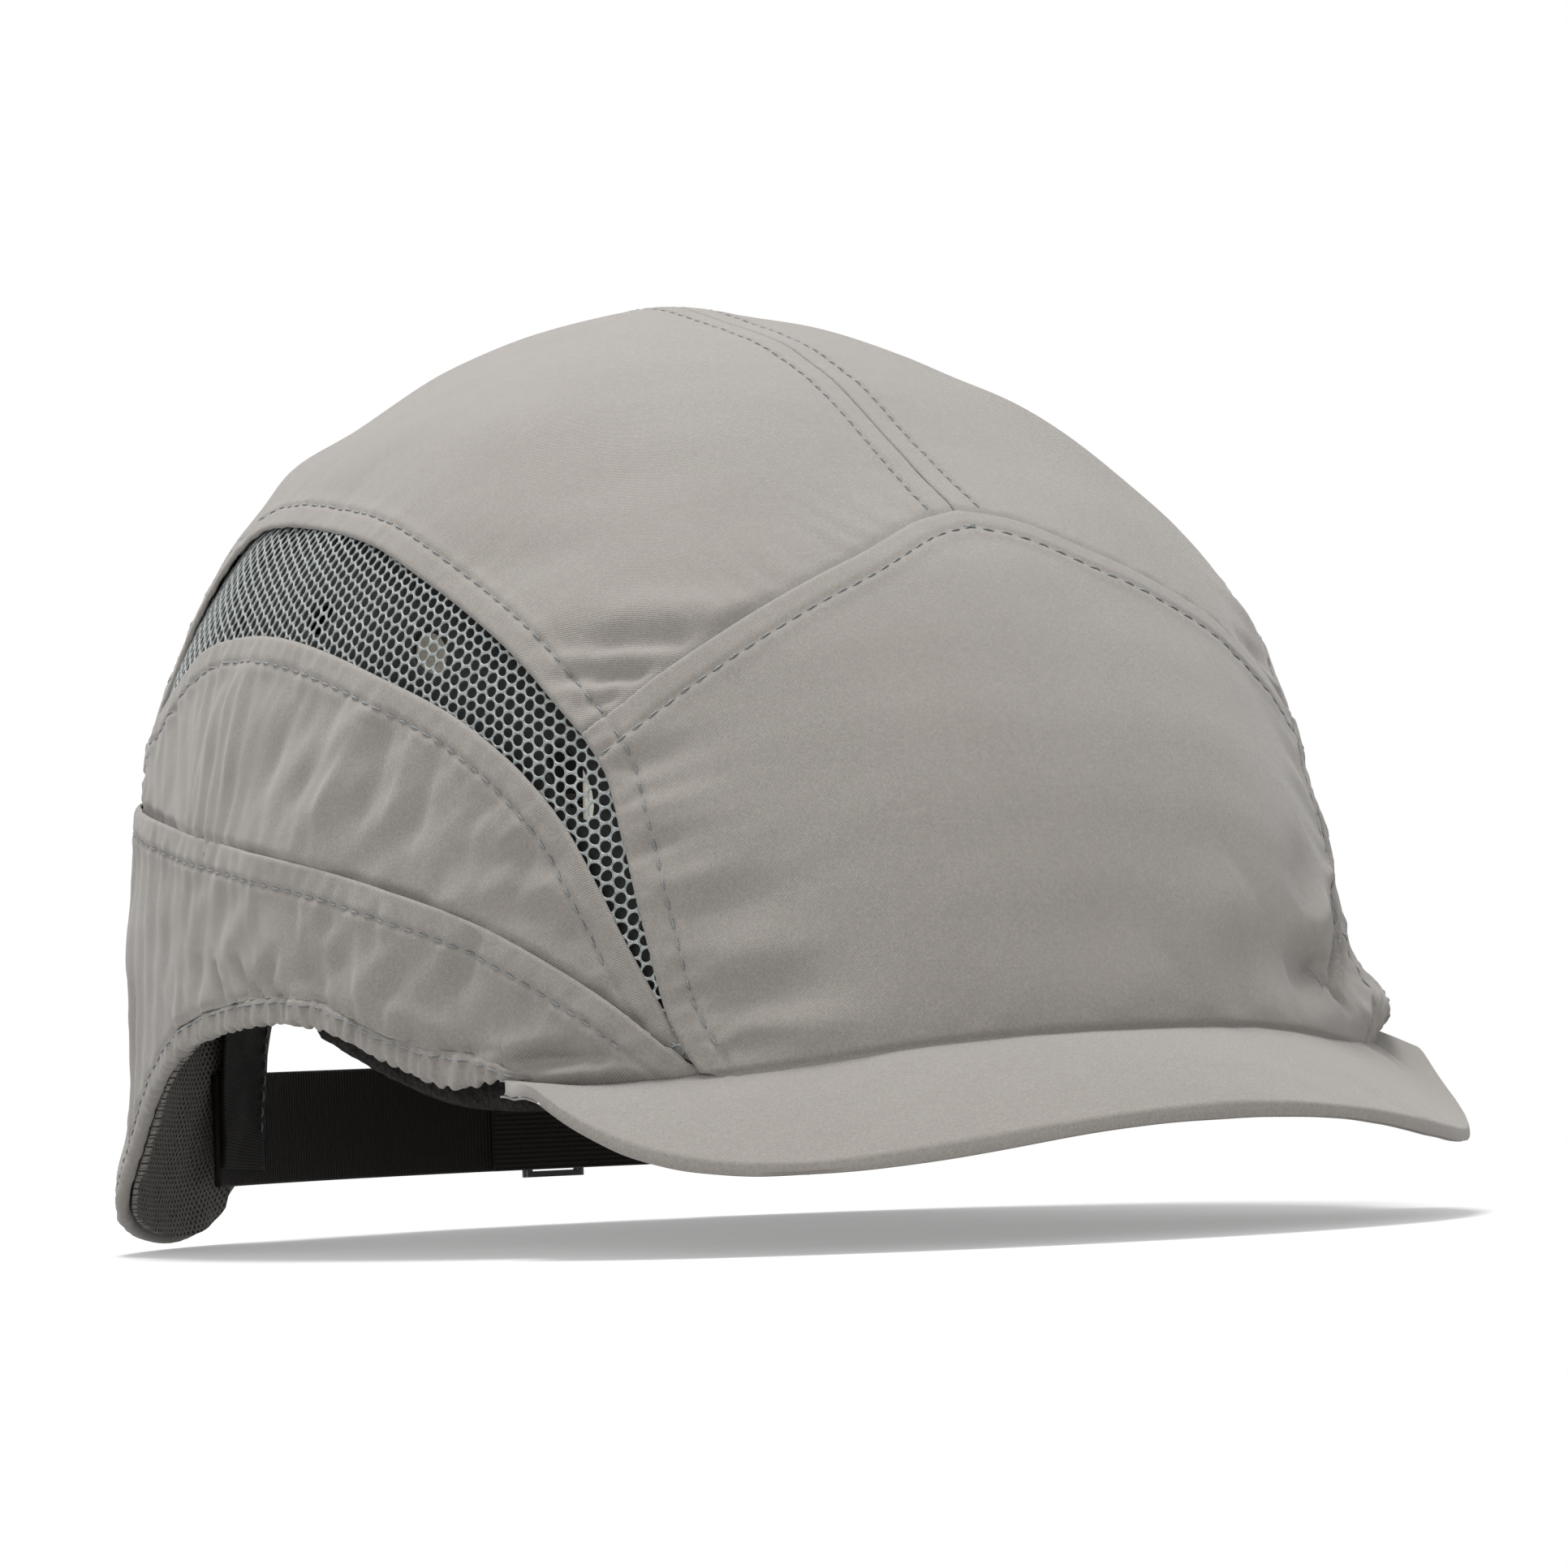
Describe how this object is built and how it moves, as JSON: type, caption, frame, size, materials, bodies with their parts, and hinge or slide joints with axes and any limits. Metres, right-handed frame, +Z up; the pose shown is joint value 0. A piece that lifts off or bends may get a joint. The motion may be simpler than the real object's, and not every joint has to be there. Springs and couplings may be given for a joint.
{
  "type": "bump cap",
  "caption": "Bump cap: sewn twill cap with side mesh vents, short curved peak, hard inner shell, foam pads, elastic ear hems and a rear elastic strap with slot buckle.",
  "frame": {"origin": "centre of the head opening, level with the two ends of the peak's seam", "axes": "+Z up through the crown, -Y towards the peak, +X towards the wearer's left"},
  "size_m": [0.174, 0.2337, 0.1414],
  "materials": {
    "twill": "fine taupe-grey polyester twill with a slight sheen",
    "vent_mesh": "knitted hexagonal net of grey-green yarn",
    "thread": "grey sewing thread",
    "black_webbing": "black woven tape",
    "black_elastic": "ribbed black elastic webbing",
    "towelling": "black terry towelling",
    "spacer_knit": "dark grey spacer knit",
    "board": "stiff polyethylene sheet",
    "shell_plastic": "moulded satin ABS",
    "foam": "closed-cell foam",
    "buckle_plastic": "moulded acetal",
    "hook_and_loop": "black hook-and-loop tape"
  },
  "bodies": {
    "cap": {"front_panel": "twill", "crown_panel_left": "twill", "crown_panel_right": "twill", "mesh_vent_left": "vent_mesh", "mesh_vent_right": "vent_mesh", "side_panel_left": "twill", "side_panel_right": "twill", "rear_band_left": "twill", "rear_band_right": "twill", "ear_hem_left": "twill", "ear_hem_right": "twill", "ear_elastic_left": "black_webbing", "ear_elastic_right": "black_webbing", "arch_binding": "black_webbing", "centre_seam_tape": "black_webbing", "brim_cover_top": "twill", "brim_board": "board", "brim_cover_under": "twill", "shell": "shell_plastic", "foam_front": "foam", "foam_top": "foam", "foam_rear": "foam", "foam_side_left": "foam", "foam_side_right": "foam", "sweatband": "towelling", "lining_left": "spacer_knit", "lining_right": "spacer_knit", "strap_elastic": "black_elastic", "anchor_webbing": "black_elastic", "loop_patch": "hook_and_loop", "buckle_backing": "black_elastic"},
    "buckle": {"slot_buckle": "buckle_plastic"},
    "tab": {"strap_tab": "black_elastic", "hook_patch": "hook_and_loop"}
  },
  "joints": [
    {"name": "tab_peel", "type": "hinge", "parent": "cap", "child": "tab", "pos_m": [0.01468, 0.10159, -0.009], "axis": [0, 0, -1], "range_deg": [0, 120]},
    {"name": "buckle_rock", "type": "hinge", "parent": "cap", "child": "buckle", "pos_m": [0.02327, 0.09957, -0.009], "axis": [0, 0, 1], "range_deg": [-3, 3]}
  ]
}
